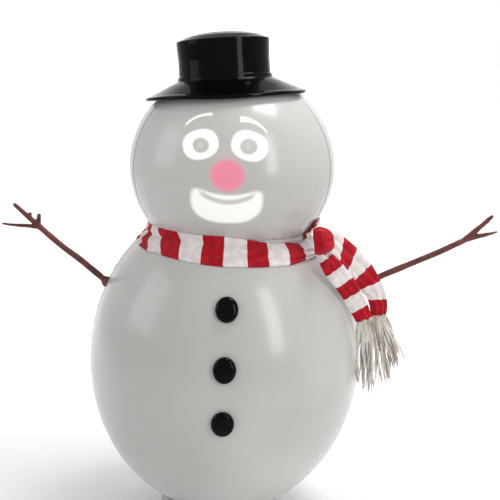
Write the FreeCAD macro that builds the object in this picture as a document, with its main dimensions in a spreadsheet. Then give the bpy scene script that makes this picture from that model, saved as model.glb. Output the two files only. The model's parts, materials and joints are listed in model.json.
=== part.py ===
"""Inflatable yard snowman: two welded globes on a weighted blower base, with a moulded hat,
stick arms, a knotted scarf and a face projected from inside the head.

Millimetres, +Z up, the face towards -Y. The origin is the centre of the base's underside.
"""
import FreeCAD, Part
import math
import os

import Sketcher

os.makedirs("parts", exist_ok=True)
doc = FreeCAD.newDocument("YardSnowman")
V = FreeCAD.Vector
Z_AXIS = V(0, 0, 1)

DIMENSIONS = {
    # globes: ovals turned about Z, given by radius, half height and middle
    "skin": 0.6,
    "body_radius": 330, "body_half": 384.4, "body_mid": 413,
    "head_radius": 241.7, "head_half": 226.1, "head_mid": 880.8,
    # weighted base
    "base_radius": 150, "base_wall": 3, "tub_height": 50, "deck_top": 58,
    "lug_reach": 168, "lug_round": 15, "lug_height": 8, "stake_hole": 4.5,
    "slot_width": 5, "slot_foot": 14, "slot_height": 24,
    "clamp_width": 12, "clamp_height": 4, "screw_circle": 118, "screw_shank": 2, "screw_head": 3.8,
    "ballast_inner": 70, "ballast_outer": 106, "ballast_height": 20,
    # blower
    "fan_radius": 54, "fan_wall": 3, "fan_foot": 12, "motor_radius": 15, "motor_foot": 14,
    "motor_height": 20, "shaft_radius": 2, "hub_radius": 18, "hub_foot": 36, "hub_height": 12,
    "blade_reach": 52, "blade_chord": 20, "blade_thick": 1.6,
    "flap_radius": 57, "flap_thick": 1.5, "flap_pin": 1.5, "flap_hinge_offset": 62,
    # low-voltage inlet and power button, side by side in the back of the tub
    "panel_spread": 30, "panel_height": 26, "inlet_radius": 6, "inlet_bore": 2.8,
    "key_radius": 6.5, "key_gap": 0.3,
    # neck
    "neck_low": 728, "neck_high": 737, "neck_radius": 190, "neck_bore": 160, "neck_screw_circle": 172,
    "bridge_width": 30, "bridge_thick": 4, "bridge_back": 60,
    # projector
    "lamp_height": 797, "lamp_tilt": 17, "can_radius": 26, "can_wall": 2.5, "barrel_radius": 13,
    "barrel_wall": 2, "fit_gap": 0.05, "lens_radius": 18,
    # hat, about its own tilted axis
    "brim_radius": 187, "crown_radius": 108, "crown_foot": 37, "crown_top": 124, "dome_rise": 20,
    "hat_wall": 2.5, "hat_lean": 5.7, "hat_shift": -22, "hat_height": 1051, "spigot": 22,
    "top_plate_height": 1080,
    # arms
    "arm_radius": 7.8, "liner_wall": 1.7, "boss_radius": 14, "socket_depth": 45,
    "arm_root": 295, "arm_root_height": 588,
    "arm_left_length": 209, "arm_left_rise": 38.4, "arm_right_length": 318, "arm_right_rise": 26.4,
    # buttons
    "button_wide": 23, "button_tall": 26.5, "button_deep": 13, "stud_radius": 4,
    # deflation valve
    "valve_height": 300, "valve_bore": 13, "valve_sleeve": 16, "valve_flange": 24,
    # scarf
    "scarf_clear": 3, "knot_thick": 28, "tail_thick": 9, "fringe_thick": 5,
}

sheet = doc.addObject("Spreadsheet::Sheet", "Dims")
for row, (alias, value) in enumerate(DIMENSIONS.items(), start=1):
    sheet.set("A%d" % row, alias.replace("_", " "))
    sheet.set("B%d" % row, str(value))
    sheet.setAlias("B%d" % row, alias)
doc.recompute()


class Dim:
    """A size that carries its number and the sheet expression that drives it."""

    def __init__(self, text, value):
        self.text = text
        self.value = value

    def __add__(self, other):
        other = dim(other)
        return Dim("(%s + %s)" % (self.text, other.text), self.value + other.value)

    def __sub__(self, other):
        other = dim(other)
        return Dim("(%s - %s)" % (self.text, other.text), self.value - other.value)

    def __mul__(self, other):
        other = dim(other)
        return Dim("(%s * %s)" % (self.text, other.text), self.value * other.value)

    def __truediv__(self, other):
        other = dim(other)
        return Dim("(%s / %s)" % (self.text, other.text), self.value / other.value)

    def __neg__(self):
        return Dim("(0 - %s)" % self.text, -self.value)

    def __radd__(self, other):
        return dim(other) + self

    def __rsub__(self, other):
        return dim(other) - self

    def __rmul__(self, other):
        return dim(other) * self

    def __float__(self):
        return float(self.value)


def dim(size):
    """Any number or Dim as a Dim."""
    if isinstance(size, Dim):
        return size
    return Dim("(%r)" % float(size), float(size))


def root(size):
    return Dim("sqrt(%s)" % size.text, math.sqrt(size.value))


def cap_radius(reach, rise):
    """Radius of a spherical cap that rises so much over such a reach."""
    return (dim(reach) * reach + dim(rise) * rise) / (2 * dim(rise))


class Sizes:
    """The spreadsheet's cells, read by alias as Dims."""

    def __getattr__(self, alias):
        return Dim("Dims.%s" % alias, float(sheet.get(alias)))


D = Sizes()


def bind(thing, **sizes):
    for name, size in sizes.items():
        thing.setExpression(name, dim(size).text)


def place(at=V(), turn=None):
    return FreeCAD.Placement(at, turn or FreeCAD.Rotation())


def along(direction):
    """The turn that carries +Z onto a direction."""
    return FreeCAD.Rotation(Z_AXIS, direction)


# ---------------------------------------------------------------- building blocks

def draw(sketch, outline):
    """Close an outline of (x, y) or (x, y, arc radius) corners; the arc leaves its own corner.
    A positive radius bulges to the right of the way it runs, a negative one to the left."""
    corners = [V(float(p[0]), float(p[1]), 0) for p in outline]
    ends = []
    for i, point in enumerate(outline):
        start, finish = corners[i], corners[(i + 1) % len(corners)]
        if len(point) == 2:
            sketch.addGeometry(Part.LineSegment(start, finish), False)
            ends.append((1, 2))
            continue
        radius = abs(float(point[2]))
        right = 1 if float(point[2]) > 0 else -1
        chord = finish - start
        away = V(-chord.y, chord.x, 0).normalize() * right
        centre = start + chord * 0.5 + away * math.sqrt(radius ** 2 - chord.Length ** 2 / 4)
        first, last = (start, finish) if right > 0 else (finish, start)
        angles = [math.atan2(p.y - centre.y, p.x - centre.x) for p in (first, last)]
        if angles[1] < angles[0]:
            angles[1] += 2 * math.pi
        circle = Part.Circle(centre, Z_AXIS, radius)
        edge = sketch.addGeometry(Part.ArcOfCircle(circle, angles[0], angles[1]), False)
        ends.append((1, 2) if right > 0 else (2, 1))
        size = dim(point[2]) * right
        rule = sketch.addConstraint(Sketcher.Constraint("Radius", edge, radius))
        sketch.setExpression("Constraints[%d]" % rule, size.text)
    for i in range(len(outline)):
        following = (i + 1) % len(outline)
        sketch.addConstraint(Sketcher.Constraint("Coincident", i, ends[i][1], following, ends[following][0]))
    for i, point in enumerate(outline):
        for kind, size, axis in (("DistanceX", point[0], -2), ("DistanceY", point[1], -1)):
            if abs(float(size)) < 1e-9:
                sketch.addConstraint(Sketcher.Constraint("PointOnObject", i, ends[i][0], axis))
                continue
            rule = sketch.addConstraint(Sketcher.Constraint(kind, -1, 1, i, ends[i][0], float(size)))
            sketch.setExpression("Constraints[%d]" % rule, dim(size).text)


def sketch_on(body, role, name, outline):
    sketch = body.newObject("Sketcher::SketchObject", name)
    plane = [f for f in body.Origin.OriginFeatures if f.Role == role][0]
    sketch.AttachmentSupport = [(plane, "")]
    sketch.MapMode = "FlatFace"
    draw(sketch, outline)
    return sketch


def turned(name, outline, angle=360, flip=False):
    """A solid of revolution about Z from an outline of (radius, height) corners."""
    body = doc.addObject("PartDesign::Body", name)
    sketch = sketch_on(body, "XZ_Plane", name + "_outline", outline)
    turn = body.newObject("PartDesign::Revolution", name + "_turn")
    turn.Profile = sketch
    turn.ReferenceAxis = (sketch, ["V_Axis"])
    turn.Angle = angle
    turn.Reversed = flip
    return body


def ring(name, inner, outer, foot, top):
    return turned(name, [(inner, foot), (outer, foot), (outer, top), (inner, top)])


def cylinder(name, radius, height, at=V(), turn=None):
    solid = doc.addObject("Part::Cylinder", name)
    bind(solid, Radius=radius, Height=height)
    solid.Placement = place(at, turn)
    return solid


def box(name, length, width, height, centre_foot=V(), turn=None):
    """A block whose footprint is centred on the given point."""
    solid = doc.addObject("Part::Box", name)
    bind(solid, Length=length, Width=width, Height=height)
    corner = V(-float(length) / 2, -float(width) / 2, 0)
    solid.Placement = place(centre_foot, turn) * place(corner)
    return solid


def sphere(name, radius, at):
    solid = doc.addObject("Part::Sphere", name)
    bind(solid, Radius=radius)
    solid.Placement = place(at)
    return solid


def group(name, solids):
    """Separate solids kept together as one object."""
    bundle = doc.addObject("Part::Compound", name)
    bundle.Links = solids
    return bundle


def fuse(name, solids):
    whole = doc.addObject("Part::MultiFuse", name)
    whole.Shapes = solids
    return whole


def cut(name, base, tools):
    result = doc.addObject("Part::Cut", name)
    result.Base = base
    result.Tool = tools[0] if len(tools) == 1 else group(name + "_tools", tools)
    return result


def around(circle, count, height=0.0, first=0.0):
    """Evenly spaced points on a circle about Z."""
    radius = float(circle)
    angles = [math.radians(first + 360.0 * i / count) for i in range(count)]
    return [V(radius * math.cos(a), radius * math.sin(a), float(height)) for a in angles]


def screw(name, head_at, length, turn=None):
    """A cheese-head screw whose head sits on head_at and whose shank runs down from it."""
    seat = place(head_at, turn)
    head = cylinder(name + "_head", D.screw_head, 2.4)
    head.Placement = seat
    shank = cylinder(name + "_shank", D.screw_shank, length + 1)
    shank.Placement = seat * place(V(0, 0, -float(length)))
    return fuse(name, [head, shank])


nodes = {}


def keep(name, thing):
    """List a finished sub-part under the name of its file."""
    thing.Label = name
    nodes[name] = thing
    return thing


# ---------------------------------------------------------------- globes

def oval_radius(radius, half, rise):
    """Radius of an oval at a rise above or below its middle."""
    return radius * root(1 - (rise / half) * (rise / half))


def oval(name, radius, half, mid):
    solid = doc.addObject("Part::Ellipsoid", name)
    bind(solid, Radius1=half, Radius2=radius, Radius3=radius)
    solid.Angle1 = -90
    solid.Placement = place(V(0, 0, float(mid)))
    return solid


def half_globe(name, radius, half, mid, low, high, front):
    """Front or back half of a thin globe, open at low and high."""
    shell = cut(name + "_shell", oval(name + "_outer", radius, half, mid),
                [oval(name + "_inner", radius - D.skin, half - D.skin, mid)])
    room = 2 * radius + 40
    side = -1 if front else 1
    keeper = box(name + "_side", room, room / 2, high - low, V(0, side * float(room) / 4, float(low)))
    panel = doc.addObject("Part::Common", name)
    panel.Base = shell
    panel.Tool = keeper
    return panel


def skin_place(azimuth, height, lift=0.0):
    """A place on the body's skin with +Z straight out of it; azimuth -90 is the front."""
    radius, half = D.body_radius.value, D.body_half.value
    rise = height - D.body_mid.value
    reach = radius * math.sqrt(1 - (rise / half) ** 2)
    turn = math.radians(azimuth)
    slope = math.atan2(rise / half ** 2, reach / radius ** 2)
    out = V(math.cos(slope) * math.cos(turn), math.cos(slope) * math.sin(turn), math.sin(slope))
    at = V(reach * math.cos(turn), reach * math.sin(turn), height) + out * lift
    side = V(-math.sin(turn), math.cos(turn), 0)
    return FreeCAD.Placement(at, FreeCAD.Rotation(side, out.cross(side), out, "ZXY"))


# ---------------------------------------------------------------- base: tub, deck, ballast, blower

def make_base():
    tub = turned("tub_wall", [
        (0, 0), (D.base_radius - 4, 0, 4), (D.base_radius, 4), (D.base_radius - 2, D.tub_height),
        (D.base_radius - 2 - D.base_wall, D.tub_height), (D.base_radius - D.base_wall, 3.5), (0, 3.5)])
    lugs = []
    for i, centre in enumerate(around(D.lug_reach, 4, 0, 45)):
        lugs.append(cylinder("lug_end_%d" % i, D.lug_round, D.lug_height, centre))
        reach = D.lug_reach - D.base_radius + 8
        middle = centre * ((float(D.lug_reach) - float(reach) / 2) / float(D.lug_reach))
        turn = FreeCAD.Rotation(Z_AXIS, 45 + 90 * i)
        lugs.append(box("lug_arm_%d" % i, reach, 2 * D.lug_round, D.lug_height, middle, turn))
    posts = [cylinder("post_%d" % i, 6, D.tub_height - 3, at)
             for i, at in enumerate(around(D.screw_circle, 6, 3, 30))]
    solid = fuse("tub_solid", [tub] + lugs + posts)

    openings = [cylinder("stake_hole_%d" % i, D.stake_hole, D.lug_height + 2, at)
                for i, at in enumerate(around(D.lug_reach, 4, -1, 45))]
    openings += [cylinder("post_bore_%d" % i, D.screw_shank, 12, at)
                 for i, at in enumerate(around(D.screw_circle, 6, D.tub_height - 11, 30))]
    for side in (0, 180):
        for step in range(-3, 4):
            azimuth = math.radians(side + 8.5 * step)
            reach = float(D.base_radius) - 2
            foot = V(reach * math.cos(azimuth), reach * math.sin(azimuth), float(D.slot_foot))
            turn = FreeCAD.Rotation(Z_AXIS, math.degrees(azimuth))
            openings.append(box("slot_%d_%d" % (side, step + 3), 20, D.slot_width, D.slot_height,
                                foot, turn))
    back = FreeCAD.Rotation(V(1, 0, 0), -90)
    spread, height = float(D.panel_spread), float(D.panel_height)
    openings.append(cylinder("inlet_hole", D.inlet_radius + 0.1, 30, V(-spread, 130, height), back))
    openings.append(cylinder("key_hole", D.key_radius + D.key_gap, 30, V(spread, 130, height), back))
    keep("base_tub", cut("tub", solid, openings))

    deck = turned("deck_disc", [
        (D.fan_radius, D.tub_height), (D.base_radius - 2, D.tub_height),
        (D.base_radius - 2, D.deck_top - 3, 3),
        (D.base_radius - 5, D.deck_top), (D.fan_radius, D.deck_top)])
    through = [cylinder("deck_bore_%d" % i, D.screw_shank, 20, at)
               for i, at in enumerate(around(D.screw_circle, 6, D.tub_height - 5, 30))]
    through += [cylinder("fan_bore_%d" % i, D.screw_shank, 20, at)
                for i, at in enumerate(around(62, 4, D.tub_height - 5, 45))]
    through.append(cylinder("lead_bore", 2.5, 20, V(90, 0, float(D.tub_height) - 5)))
    keep("base_deck", cut("deck", deck, through))

    clamp_top = D.deck_top + D.clamp_height
    clamp = ring("clamp_disc", D.screw_circle - D.clamp_width / 2, D.screw_circle + D.clamp_width / 2,
                 D.deck_top, clamp_top)
    keep("body_clamp_ring", cut("clamp", clamp, [
        cylinder("clamp_bore_%d" % i, D.screw_shank, 10, at)
        for i, at in enumerate(around(D.screw_circle, 6, D.deck_top - 2, 30))]))
    screws = [screw("base_screw_%d" % i, at, clamp_top - D.tub_height + 8)
              for i, at in enumerate(around(D.screw_circle, 6, clamp_top, 30))]
    screws += [screw("fan_screw_%d" % i, at, D.deck_top - D.tub_height + 4)
               for i, at in enumerate(around(62, 4, D.deck_top, 45))]
    keep("base_screws", group("base_screw_set", screws))
    keep("ballast_ring", ring("ballast", D.ballast_inner, D.ballast_outer, 3.5, 3.5 + D.ballast_height))


def make_blower():
    outer = D.fan_radius + D.fan_wall
    tube = turned("fan_tube", [
        (D.fan_radius, D.fan_foot), (outer, D.fan_foot), (outer, D.tub_height - 4),
        (outer + 9, D.tub_height - 4),
        (outer + 9, D.tub_height), (D.fan_radius, D.tub_height)])
    seat = ring("motor_seat", D.motor_radius, D.motor_radius + 3, D.motor_foot, D.motor_foot + 10)
    spokes = []
    for i in range(3):
        azimuth = math.radians(30 + 120 * i)
        reach = D.fan_radius + 1 - D.motor_radius - 1
        middle = float(D.motor_radius) + 1 + float(reach) / 2
        foot = V(middle * math.cos(azimuth), middle * math.sin(azimuth), float(D.motor_foot))
        spokes.append(box("fan_spoke_%d" % i, reach, 5, 4, foot, FreeCAD.Rotation(Z_AXIS, 30 + 120 * i)))
    frame = fuse("fan_frame", [tube, seat] + spokes)
    keep("fan_housing", cut("fan_body", frame, [
        cylinder("fan_thread_%d" % i, D.screw_shank, 20, at)
        for i, at in enumerate(around(62, 4, D.tub_height - 10, 45))]))

    motor_top = D.motor_foot + D.motor_height
    keep("fan_motor", turned("motor", [
        (0, D.motor_foot), (D.motor_radius, D.motor_foot), (D.motor_radius, motor_top - 1),
        (D.motor_radius - 1, motor_top), (D.shaft_radius, motor_top), (D.shaft_radius, motor_top + 10),
        (0, motor_top + 10)]))
    bore = D.shaft_radius + D.fit_gap
    hub = turned("impeller_hub", [
        (bore, D.hub_foot), (D.hub_radius, D.hub_foot), (D.hub_radius, D.hub_foot + D.hub_height - 3, 3),
        (D.hub_radius - 3, D.hub_foot + D.hub_height), (0, D.hub_foot + D.hub_height),
        (0, D.hub_foot + D.hub_height - 3), (bore, D.hub_foot + D.hub_height - 3)])
    blades = []
    reach = D.blade_reach - D.hub_radius + 2
    for i in range(7):
        azimuth = 360.0 * i / 7
        middle = float(D.hub_radius) - 2 + float(reach) / 2
        spin = FreeCAD.Rotation(Z_AXIS, azimuth)
        pitch = spin * FreeCAD.Rotation(V(1, 0, 0), 32)
        centre = spin.multVec(V(middle, 0, float(D.hub_foot) + float(D.hub_height) / 2 - 1))
        blade = box("blade_%d" % i, reach, D.blade_chord, D.blade_thick)
        blade.Placement = place(centre, pitch) * blade.Placement * place(V(0, 0, -float(D.blade_thick) / 2))
        blades.append(blade)
    keep("fan_impeller", fuse("impeller", [hub] + blades))

    pin_height = float(D.deck_top) + 4.5
    hinge_y = float(D.flap_hinge_offset)
    disc = cylinder("flap_disc", D.flap_radius, D.flap_thick, V(0, 0, float(D.deck_top) + 0.3))
    tab = box("flap_tab", 24, 12, D.flap_thick, V(0, hinge_y - 6, float(D.deck_top) + 0.3))
    knuckle = cylinder("flap_knuckle", 3, 24, V(-12, hinge_y, pin_height - 0.4), along(V(1, 0, 0)))
    eye = cylinder("flap_eye", D.flap_pin + D.fit_gap, 30, V(-15, hinge_y, pin_height - 0.4),
                   along(V(1, 0, 0)))
    keep("check_flap", cut("flap", fuse("flap_solid", [disc, tab, knuckle]), [eye]))
    ears = []
    for side in (-1, 1):
        ears.append(box("flap_ear_%d" % (side + 1), 4, 8, 8, V(side * 15, hinge_y, float(D.deck_top))))
    ears.append(cylinder("flap_pin", D.flap_pin, 34, V(-17, hinge_y, pin_height - 0.4), along(V(1, 0, 0))))
    keep("flap_hinge_bracket", fuse("flap_bracket", ears))


def make_panel():
    """Low-voltage inlet and power button in the back of the tub."""
    back = FreeCAD.Rotation(V(1, 0, 0), -90)
    spread, height = float(D.panel_spread), float(D.panel_height)
    barrel = cylinder("inlet_barrel", D.inlet_radius, 21, V(-spread, 129, height), back)
    rim = cylinder("inlet_rim", D.inlet_radius + 2.5, 2, V(-spread, 149, height), back)
    bore = cylinder("inlet_bore_cut", D.inlet_bore, 13, V(-spread, 139, height), back)
    keep("dc_inlet", cut("inlet", fuse("inlet_solid", [barrel, rim]), [bore]))
    key = cylinder("key_cap", D.key_radius, 15, V(spread, 138, height), back)
    keep("power_button", key)
    keep("switch_body", box("switch", 18, 13, 16, V(spread, 128, height - 8)))


# ---------------------------------------------------------------- body globe and what it carries

BUTTON_HEIGHTS = (606, 485, 367)
BUTTON_NAMES = ("button_top", "button_middle", "button_bottom")


def make_body():
    sizes = (D.body_radius, D.body_half, D.body_mid, D.deck_top, D.neck_low)
    front = half_globe("body_front_half", *sizes, front=True)
    back = half_globe("body_back_half", *sizes, front=False)
    bosses = []
    for i, side in enumerate((-1, 1)):
        room = sphere("boss_room_%d" % i, D.boss_radius, V())
        room.Placement = place(arm_root(side), along(V(1, 0, 0)))
        bosses.append(room)
    studs = []
    for i, height in enumerate(BUTTON_HEIGHTS):
        hole = cylinder("stud_hole_%d" % i, D.stud_radius, 20)
        hole.Placement = skin_place(-90, height, -10)
        studs.append(hole)
    keep("body_front_panel", cut("body_front", front, bosses + studs))
    sleeve = cylinder("valve_hole", D.valve_sleeve, 30)
    sleeve.Placement = skin_place(90, D.valve_height.value, -15)
    keep("body_back_panel", cut("body_back", back, bosses + [sleeve]))


def make_buttons():
    """Oval domes, each held by a stud through the skin and a washer inside."""
    studs, washers = [], []
    for name, height in zip(BUTTON_NAMES, BUTTON_HEIGHTS):
        dome = doc.addObject("Part::Ellipsoid", name + "_dome")
        bind(dome, Radius1=D.button_deep, Radius2=D.button_tall, Radius3=D.button_wide)
        dome.Angle1 = 0
        seat = skin_place(-90, height, 0.4)
        dome.Placement = seat * place(V(), FreeCAD.Rotation(Z_AXIS, 90))
        keep(name, dome)
        stud = cylinder(name + "_stud", D.stud_radius, 6.4)
        stud.Placement = seat * place(V(0, 0, -6.4))
        studs.append(stud)
        washer = cut(name + "_washer", cylinder(name + "_washer_disc", 12, 1.6),
                     [cylinder(name + "_washer_eye", D.stud_radius, 4, V(0, 0, -1))])
        washer.Placement = seat * place(V(0, 0, -6))
        washers.append(washer)
    keep("button_studs", group("button_stud_set", studs))
    keep("button_washers", group("button_washer_set", washers))


def arm_root(side):
    return V(side * float(D.arm_root), 0, float(D.arm_root_height))


def arm_place(side, rise):
    """Arm's own place: +Z out along the shaft, +X up across it."""
    angle = math.radians(float(rise))
    out = V(side * math.cos(angle), 0, math.sin(angle))
    up = V(-side * math.sin(angle), 0, math.cos(angle))
    return FreeCAD.Placement(arm_root(side), FreeCAD.Rotation(up, out.cross(up), out, "ZXY"))


def limb(name, start, finish, start_radius, finish_radius):
    """Tapered stick with a rounded tip."""
    line = finish - start
    stick = doc.addObject("Part::Cone", name + "_stick")
    bind(stick, Radius1=start_radius, Radius2=finish_radius, Height=line.Length)
    stick.Placement = place(start, along(line))
    return [stick, sphere(name + "_tip", finish_radius, finish)]


def make_arm(word, side, length, rise, fingers):
    """Socket boss in the side seam, swivel liner, and the stick arm plugged into it."""
    seat = arm_place(side, rise)
    depth = D.socket_depth
    liner_outer = D.arm_radius + D.fit_gap + D.liner_wall
    boss = sphere(word + "_boss_ball", D.boss_radius, V())
    sleeve = cylinder(word + "_boss_sleeve", liner_outer + 2.5, depth, V(0, 0, -float(depth)))
    bore = cylinder(word + "_boss_bore", liner_outer + D.fit_gap, depth + 30, V(0, 0, 3 - float(depth)))
    socket = cut(word + "_socket", fuse(word + "_boss", [boss, sleeve]), [bore])
    socket.Placement = seat
    keep("arm_socket_" + word, socket)

    liner = ring(word + "_liner", D.arm_radius + D.fit_gap, liner_outer, 3.3 - depth, 14)
    liner.Placement = seat
    keep("arm_liner_" + word, liner)

    plug = cylinder(word + "_plug", D.arm_radius, depth - 6 + 20, V(0, 0, 6 - float(depth)))
    shaft = limb(word + "_shaft", V(0, 0, 20), V(0, 0, float(length)), D.arm_radius, D.arm_radius - 0.6)
    pieces = [plug] + shaft
    for i, (start, tip, start_radius, tip_radius) in enumerate(fingers):
        foot = V(start[0], 0, float(length) + start[1])
        end = V(tip[0], 0, float(length) + tip[1])
        pieces += limb("%s_finger_%d" % (word, i), foot, end, start_radius, tip_radius)
    arm = fuse(word + "_arm", pieces)
    arm.Placement = seat
    keep("arm_" + word, arm)


def make_arms():
    # each finger: foot and tip as (across, along) from the fork, then the two radii
    make_arm("left", -1, D.arm_left_length, D.arm_left_rise, [
        ((0, 0), (2, 36), 7, 6.4), ((2, 36), (4, 84), 6.3, 4.6),
        ((0, 4), (-53, 76), 5.4, 2.4), ((2, 8), (25, 22), 5.6, 4.6), ((2, 34), (13, 40), 4.6, 4.0)])
    make_arm("right", 1, D.arm_right_length, D.arm_right_rise, [
        ((0, 0), (28, 80), 7, 4.4), ((0, 0), (-14, 76), 6.4, 2.6)])


def make_valve():
    """Flanged deflation valve at the back, with a hinged stopper."""
    seat = skin_place(90, D.valve_height.value)
    body = turned("valve_ring", [
        (D.valve_bore, -8), (D.valve_sleeve, -8), (D.valve_sleeve, 0.6), (D.valve_flange, 0.6),
        (D.valve_flange, 3), (D.valve_flange - 1, 4), (D.valve_bore, 4)])
    hinge_x = -(D.valve_flange + 2)
    lug = box("valve_lug", 8, 20, 2.6, V(float(hinge_x) + 4, 0, 0.6))
    pin_line = FreeCAD.Rotation(V(1, 0, 0), -90)
    posts = [box("valve_post_%d" % (s + 1), 4, 4, 5, V(float(hinge_x), s * 8, 2)) for s in (-1, 1)]
    pin = cylinder("valve_pin", 1, 20, V(float(hinge_x), -10, 6), pin_line)
    whole = fuse("valve_body_solid", [body, lug, pin] + posts)
    whole.Placement = seat
    keep("valve_body", whole)

    nut = ring("valve_nut_ring", D.valve_sleeve, D.valve_flange - 2, -6, -3)
    nut.Placement = seat
    keep("valve_nut", nut)

    cap = turned("valve_cap_disc", [
        (0, 4.3), (D.valve_flange - 2, 4.3), (D.valve_flange - 2, 6.5), (D.valve_flange - 3, 7.5), (0, 7.5)])
    plug = ring("valve_cap_plug", D.valve_bore - 3, D.valve_bore - 0.6, 2, 5)
    strap = box("valve_strap", 8, 11, 2, V(float(hinge_x) + 4, 0, 5.2))
    knuckle = cylinder("valve_knuckle", 2.2, 11, V(float(hinge_x), -5.5, 6), pin_line)
    eye = cylinder("valve_eye", 1 + D.fit_gap, 14, V(float(hinge_x), -7, 6), pin_line)
    stopper = cut("valve_stopper", fuse("valve_cap_solid", [cap, plug, strap, knuckle]), [eye])
    stopper.Placement = seat
    keep("valve_cap", stopper)


# ---------------------------------------------------------------- neck hub and projector

def make_neck():
    holes = around(D.neck_screw_circle, 8, D.neck_low - 20, 22.5)

    def drilled(name, inner, outer, foot, top):
        disc = ring(name + "_disc", inner, outer, foot, top)
        return cut(name, disc, [cylinder("%s_bore_%d" % (name, i), D.screw_shank, 60, at)
                                for i, at in enumerate(holes)])

    keep("neck_hub", drilled("hub", D.neck_bore, D.neck_radius, D.neck_low, D.neck_high))
    keep("neck_clamp_lower", drilled("clamp_low", D.neck_bore, D.neck_radius - 5,
                                     D.neck_low - 4, D.neck_low))
    clamp_top = D.neck_high + 4
    keep("neck_clamp_upper", drilled("clamp_up", D.neck_bore, D.neck_radius - 8, D.neck_high, clamp_top))
    keep("neck_screws", group("neck_screw_set", [
        screw("neck_screw_%d" % i, V(at.x, at.y, float(clamp_top)), 15) for i, at in enumerate(holes)]))

    back = float(D.bridge_back)
    span = 2 * math.sqrt((float(D.neck_bore) + 3) ** 2 - (back + float(D.bridge_width) / 2) ** 2)
    bar = box("bridge_bar", span, D.bridge_width, D.bridge_thick, V(0, back, float(clamp_top)))
    gland = cylinder("bridge_gland_bore", 2.5, 20, V(90, back, float(clamp_top) - 5))
    keep("projector_bridge", cut("bridge", bar, [gland]))

    foot = V(0, back, float(clamp_top) + float(D.bridge_thick))
    lamp = V(0, back, float(D.lamp_height))
    ears = [box("bracket_foot", 74, 22, 3, foot)]
    for side in (-1, 1):
        ears.append(box("bracket_ear_%d" % (side + 1), 3, 16, D.lamp_height + 8 - foot.z,
                        foot + V(side * 33, 0, 0)))
    eyes = [cylinder("bracket_eye", 3 + D.fit_gap, 90, lamp - V(45, 0, 0), along(V(1, 0, 0)))]
    keep("projector_bracket", cut("bracket", fuse("bracket_solid", ears), eyes))
    # the lead climbs from the deck to the bridge, held at both ends
    low, high = float(D.deck_top) - 6, float(clamp_top) + float(D.bridge_thick) + 6
    bend = (high - low) / 2
    points = [V(90, 0, low), V(90, 0, low + 0.25 * bend), V(90, back, high - 0.25 * bend), V(90, back, high)]
    keep("inner_lead", lead("lead", points, 2.2))


def lead(name, points, radius):
    """Round lead along straight runs joined by tangent arcs."""
    edges, start = [], points[0]
    for before, corner, after in zip(points, points[1:], points[2:]):
        way_in, way_out = (corner - before).normalize(), (after - corner).normalize()
        half = way_in.getAngle(way_out) / 2
        shorter = min((corner - before).Length, (after - corner).Length)
        bend = 0.45 * shorter / math.tan(half)
        setback = bend * math.tan(half)
        first, last = corner - way_in * setback, corner + way_out * setback
        inward = (way_out - way_in).normalize()
        middle = corner + inward * (bend / math.cos(half) - bend)
        edges += [Part.LineSegment(start, first).toShape(), Part.Arc(first, middle, last).toShape()]
        start = last
        print("%s bend radius %.0f mm" % (name, bend))
    edges.append(Part.LineSegment(start, points[-1]).toShape())
    path = Part.Wire(edges)
    section = Part.Wire([Part.Circle(points[0], points[1] - points[0], radius).toShape()])
    tube = doc.addObject("Part::Feature", name)
    tube.Shape = path.makePipeShell([section], True, True)
    print("%s volume ratio %.4f" % (name, tube.Shape.Volume / (math.pi * radius ** 2 * path.Length)))
    return tube


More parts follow.
